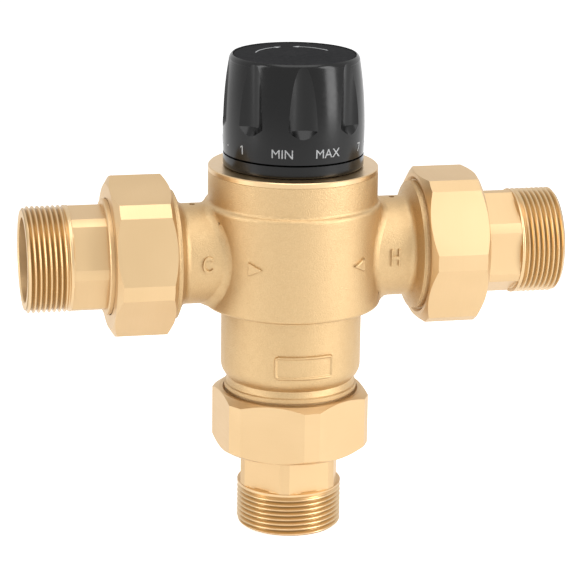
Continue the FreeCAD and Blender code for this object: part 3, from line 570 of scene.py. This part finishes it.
def finish_faces(work):
    """Gives the cut turns their own finish and a painted root shade, and keeps true edges sharp."""
    root = work.loops.layers.color.new("root")
    for face in work.faces:
        middle = face.calc_center_median()
        cut = middle.z > CUT_START and middle.xy.length > OUTSIDE
        face.material_index = int(cut)
        face.smooth = True
        for loop in face.loops:
            # painted shade: darker with depth below the crest, on the cut turns only
            depth = (THREAD_RADIUS - loop.vert.co.xy.length) / THREAD_DEPTH
            value = min(1, max(0, depth)) if cut else 0
            loop[root] = (value, value, value, 1)
    for edge in work.edges:
        cut = any(face.material_index for face in edge.link_faces)
        sharp = SHARP_ON_THREAD if cut else SHARP_ELSEWHERE
        edge.smooth = edge.is_manifold and edge.calc_face_angle() < sharp


def tail_mesh(name):
    """Turned and milled tail with its pipe thread, in the valve's frame."""
    angles = column_angles()
    verts, faces = lathe(tail_profile(), angles)
    more_verts, more_faces = thread_surface(angles)
    faces += [tuple(v + len(verts) for v in face) for face in more_faces]
    verts += more_verts
    mesh = bpy.data.meshes.new(f"tail_{name}")
    mesh.from_pydata(verts, [], faces)
    work = bmesh.new()
    work.from_mesh(mesh)
    bmesh.ops.remove_doubles(work, verts=work.verts, dist=WELD_GAP)
    bmesh.ops.dissolve_degenerate(work, edges=work.edges, dist=SLIVER)
    bmesh.ops.recalc_face_normals(work, faces=work.faces)
    finish_faces(work)
    work.transform(union_matrix(name))
    work.to_mesh(mesh)
    work.free()
    return mesh


def build_tailpiece(name, finishes):
    """Puts the threaded tail in place of the CAD's plain one."""
    mesh = tail_mesh(name)
    piece = new_object(f"tail_{name}", mesh)
    mesh.materials.append(NODES[f"tailpiece_{name}"].data.materials[0])
    mesh.materials.append(finishes["thread"])
    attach(piece, "valve")
    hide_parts(f"tailpiece_{name}")


# ---- lettering and cast marks -----------------------------------------------

LONGEST_EDGE = 1.2 * MM
RAY_START = 80.0 * MM
FRONT_START = 90.0 * MM
FRONT = Vector((0, -1, 0))


def surface_of(name):
    """A CAD node's surface, for rays to hit."""
    mesh = NODES[name].data
    return BVHTree.FromPolygons([v.co for v in mesh.vertices],
                                [p.vertices for p in mesh.polygons])


def solid_of(curve, depth, soft):
    """Mesh of a filled flat curve, as a thin solid centred on its plane."""
    curve.extrude = depth / 2
    curve.bevel_depth = soft
    curve.bevel_resolution = 1 if soft else 0
    curve.resolution_u = 4
    holder = new_object("flat", curve)
    bpy.context.view_layer.update()
    mesh = bpy.data.meshes.new_from_object(holder)
    bpy.data.objects.remove(holder)
    return mesh


def text_mesh(text, size, depth, soft=0.0, narrow=1.0):
    """Centred lettering as a thin solid, narrowed to a share of its width."""
    curve = bpy.data.curves.new("text", "FONT")
    curve.body = text
    curve.size = size
    curve.align_x = "CENTER"
    curve.align_y = "CENTER"
    mesh = solid_of(curve, depth, soft)
    for vert in mesh.vertices:
        vert.co.x *= narrow
    return mesh


def shape_mesh(corners, depth, soft=0.0):
    """A flat closed shape with straight sides, from its corners in mm."""
    curve = bpy.data.curves.new("shape", "CURVE")
    curve.dimensions = "2D"
    curve.fill_mode = "BOTH"
    spline = curve.splines.new("POLY")
    spline.points.add(len(corners) - 1)
    for point, (x, y) in zip(spline.points, corners):
        point.co = (x * MM, y * MM, 0, 1)
    spline.use_cyclic_u = True
    return solid_of(curve, depth, soft)


def on_circle(radius, degrees):
    angle = math.radians(degrees)
    return (radius * math.cos(angle), radius * math.sin(angle))


def ring_corners(radius, count=20):
    return [on_circle(radius, 360 * k / count) for k in range(count)]


def ease(share):
    """Smooth step from 0 to 1."""
    share = min(1, max(0, share))
    return share * share * (3 - 2 * share)


def pad_inward(x, y, width, height, corner):
    """Distance in from the edge of a rectangle with round corners."""
    past_x = max(0, abs(x) - (width / 2 - corner))
    past_y = max(0, abs(y) - (height / 2 - corner))
    if past_x == 0 and past_y == 0:
        return min(width / 2 - abs(x), height / 2 - abs(y))
    return corner - math.hypot(past_x, past_y)


def pad_mesh(width, height, corner, rise, soft):
    """A pad with a raised rim and round corners, as a grid of heights over the casting."""
    columns, rows = 120, 56
    rim, hollow = 1.4 * soft, 0.6
    verts, faces = [], []
    for j in range(rows + 1):
        for i in range(columns + 1):
            x = (i / columns - 0.5) * width
            y = (j / rows - 0.5) * height
            inward = pad_inward(x, y, width, height, corner)
            crest = ease(inward / soft) - hollow * ease((inward - rim) / soft)
            verts.append((x, y, rise * crest))
    for j in range(rows):
        for i in range(columns):
            a = j * (columns + 1) + i
            faces.append((a, a + 1, a + columns + 2, a + columns + 1))
    mesh = bpy.data.meshes.new("pad")
    mesh.from_pydata(verts, [], faces)
    for polygon in mesh.polygons:
        polygon.use_smooth = True
    return mesh


def move_all(mesh, place_of):
    """Moves each vertex of a flat mesh, cut fine enough to follow a curve."""
    work = bmesh.new()
    work.from_mesh(mesh)
    bmesh.ops.triangulate(work, faces=work.faces)
    long_edges = [e for e in work.edges if e.calc_length() > LONGEST_EDGE]
    bmesh.ops.subdivide_edges(work, edges=long_edges, cuts=2)
    for vert in work.verts:
        vert.co = place_of(vert.co)
    work.to_mesh(mesh)
    work.free()


def lay_round(mesh, surface, angle, height, lift=0.0):
    """Wraps a flat mesh round the valve's axis, at an angle from the front."""
    def reach(turn, level):
        outward = Vector((math.sin(turn), -math.cos(turn), 0))
        origin = outward * RAY_START + Vector((0, 0, level))
        return surface.ray_cast(origin, -outward)[0], outward

    radius = reach(angle, height)[0].xy.length

    def wrapped(point):
        place, outward = reach(angle + point.x / radius, height + point.y)
        return place + outward * (lift + point.z)

    move_all(mesh, wrapped)


def lay_front(mesh, surface, x, height):
    """Presses a flat mesh back onto a surface from the front."""
    def pressed(point):
        origin = Vector((x + point.x, -FRONT_START, height + point.y))
        return surface.ray_cast(origin, -FRONT)[0] + FRONT * point.z

    move_all(mesh, pressed)


def piece_of(name, mesh, material, body):
    """A scene piece of one finish, riding on a body."""
    piece = new_object(name, mesh)
    mesh.materials.clear()
    mesh.materials.append(material)
    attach(piece, body)
    return piece


DIAL_HEIGHT = PORT_HEIGHT + 50.7 * MM
# Angles of the dial in degrees, from the front and turning to the right.
DIAL_MIDDLE = -2.15
MIN_TO_MAX = 37.6
END_GAP = 36.3
DIAL_STEP = (360 - MIN_TO_MAX - 2 * END_GAP) / 6
DIAL_TEXT = 5.7 * MM
INK = 0.05 * MM
INK_LIFT = 0.045 * MM
# Shapes of the dial in mm.
DOT_RADIUS = 0.45
FIGURE_ONE = (
    (0.32, -2.0), (0.32, 2.0), (-0.2, 2.0), (-1.25, 1.35), (-1.25, 0.8), (-0.3, 1.3), (-0.3, -2.0),
)


def add_dial(paint):
    """MIN, 1 to 7, MAX and the dots between the figures, printed on the skirt."""
    knob = surface_of("knob")
    first = DIAL_MIDDLE - MIN_TO_MAX / 2 - END_GAP
    marks = [("MIN", DIAL_MIDDLE - MIN_TO_MAX / 2), ("MAX", DIAL_MIDDLE + MIN_TO_MAX / 2)]
    marks += [(str(n), first - DIAL_STEP * (n - 1)) for n in range(1, 8)]
    marks += [(f"dot_{n}", first - DIAL_STEP * (n - 0.5)) for n in range(1, 7)]
    for name, angle in marks:
        if name.startswith("dot"):
            mesh = shape_mesh(ring_corners(DOT_RADIUS), INK)
        elif name == "1":
            mesh = shape_mesh(FIGURE_ONE, INK)
        else:
            mesh = text_mesh(name, DIAL_TEXT, INK)
        lay_round(mesh, knob, math.radians(angle), DIAL_HEIGHT, INK_LIFT)
        piece_of(f"dial_{name}", mesh, paint, "knob")


# The cap's arrows: lengths in mm, start and sweep in degrees.
ARROWS = (("hotter", 160, -52), ("colder", 20, 52))
ARROW_RADIUS = 17.5
ARROW_WIDTH = 0.55
ARROW_HEAD = 1.5
ARROW_TIP = 2.7
ARROW_STEPS = 18
CAP_LIFT = 0.03 * MM


def arrow_corners(start, sweep):
    """A curved arrow round the knob's axis."""
    turns = [start + sweep * k / ARROW_STEPS for k in range(ARROW_STEPS + 1)]
    outer = [on_circle(ARROW_RADIUS + ARROW_WIDTH / 2, turn) for turn in turns]
    inner = [on_circle(ARROW_RADIUS - ARROW_WIDTH / 2, turn) for turn in turns]
    end = start + sweep
    tip = end + math.copysign(math.degrees(ARROW_TIP / ARROW_RADIUS), sweep)
    head = [
        on_circle(ARROW_RADIUS + ARROW_HEAD, end),
        on_circle(ARROW_RADIUS, tip),
        on_circle(ARROW_RADIUS - ARROW_HEAD, end),
    ]
    return outer + head + inner[::-1]


def add_cap_arrows(paint):
    """The two turning directions, printed on the cap."""
    top = max(v.co.z for v in NODES["knob_cap"].data.vertices) + CAP_LIFT
    for name, start, sweep in ARROWS:
        mesh = shape_mesh(arrow_corners(start, sweep), INK)
        for vert in mesh.vertices:
            vert.co.z += top
        piece_of(f"cap_arrow_{name}", mesh, paint, "knob")


CAST_DEPTH = 1.5 * MM
CAST_SOFT = 0.3 * MM
LETTER_OUT = 42.8 * MM
LETTER_HEIGHT = PORT_HEIGHT - 0.3 * MM
LETTER_SIZE = 10.6 * MM
LETTER_NARROW = 0.66
# The flow marks: angle from the front in degrees, and their triangle in mm.
FLOW_ANGLE = 36.0
FLOW_BACK = 2.4
FLOW_POINT = 2.6
PAD_ANGLE = -0.4
PAD_HEIGHT = PORT_HEIGHT - 46.9 * MM
PAD_SIZE = (28.0 * MM, 11.6 * MM)
PAD_CORNER = 2.4 * MM
PAD_RISE = 1.1 * MM
PAD_SOFT = 0.8 * MM
PAD_SINK = 0.1 * MM


def add_cast_marks(brass):
    """C and H on the necks, the two flow marks, and the bare pad, all cast on."""
    casting = surface_of("valve_body")
    for text, side in (("C", -1), ("H", 1)):
        mesh = text_mesh(text, LETTER_SIZE, CAST_DEPTH, CAST_SOFT, LETTER_NARROW)
        lay_front(mesh, casting, side * LETTER_OUT, LETTER_HEIGHT)
        piece_of(f"cast_{text}", mesh, brass, "valve")
        back, point = side * FLOW_BACK, -side * FLOW_POINT
        inwards = [(back, -FLOW_BACK), (back, FLOW_BACK), (point, 0)]
        mesh = shape_mesh(inwards, 1.2 * CAST_DEPTH, 1.5 * CAST_SOFT)
        lay_round(mesh, casting, math.radians(side * FLOW_ANGLE), PORT_HEIGHT)
        piece_of(f"flow_mark_{text}", mesh, brass, "valve")
    pad = pad_mesh(*PAD_SIZE, PAD_CORNER, PAD_RISE, PAD_SOFT)
    lay_round(pad, casting, math.radians(PAD_ANGLE), PAD_HEIGHT, -PAD_SINK)
    piece_of("rating_pad", pad, brass, "valve")


def build_scene():
    add_camera()
    add_stage()
    finishes = finish_nodes()
    finishes["thread"] = thread_brass()
    paint = white_paint()
    for name in UNION:
        build_tailpiece(name, finishes)
    add_dial(paint)
    add_cap_arrows(paint)
    add_cast_marks(finishes["cast_brass"])


build_scene()
